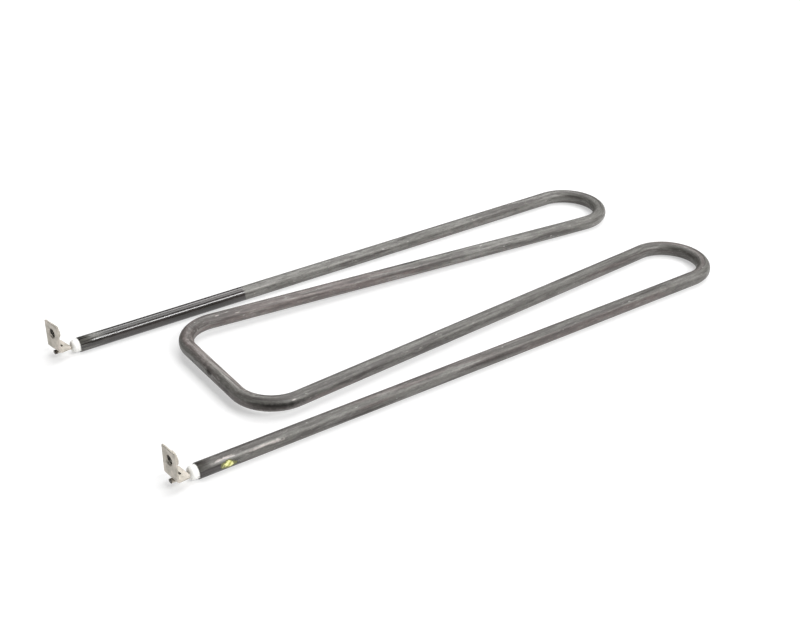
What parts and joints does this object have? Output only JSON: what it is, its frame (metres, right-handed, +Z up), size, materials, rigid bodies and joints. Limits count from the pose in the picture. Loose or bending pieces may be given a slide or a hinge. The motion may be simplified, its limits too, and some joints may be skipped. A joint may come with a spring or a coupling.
{
  "type": "tubular heating element",
  "caption": "Sheathed rod heater bent into long hairpins and a centre loop, with ceramic-bushed screw terminals on the leg ends.",
  "frame": {"origin": "on the surface the element lies on, midway between the pins' tips and the fronts of the hairpins, and midway between the outer legs", "axes": "+X from the terminals towards the hairpins, +Y towards the left leg, +Z up"},
  "size_m": [0.3543, 0.1455, 0.0208],
  "materials": {
    "sheath_steel": "heat-dulled grey steel, glossy and dark by the terminals",
    "magnesia": "compacted white powder",
    "resistance_wire": "oxidised wire",
    "pin_steel": "plain drawn steel",
    "ceramic": "fired steatite, satin",
    "resin": "cured resin",
    "nickel_strip": "satin nickel plate"
  },
  "bodies": {
    "root": {"sheath": "sheath_steel", "magnesia_jacket": "magnesia", "magnesia_core": "magnesia", "resistance_coil": "resistance_wire", "terminal_pin_left": "pin_steel", "terminal_pin_right": "pin_steel", "ceramic_bushing_left": "ceramic", "ceramic_bushing_right": "ceramic", "end_seal_left": "resin", "end_seal_right": "resin", "terminal_tab_left": "nickel_strip", "terminal_tab_right": "nickel_strip"}
  },
  "joints": []
}
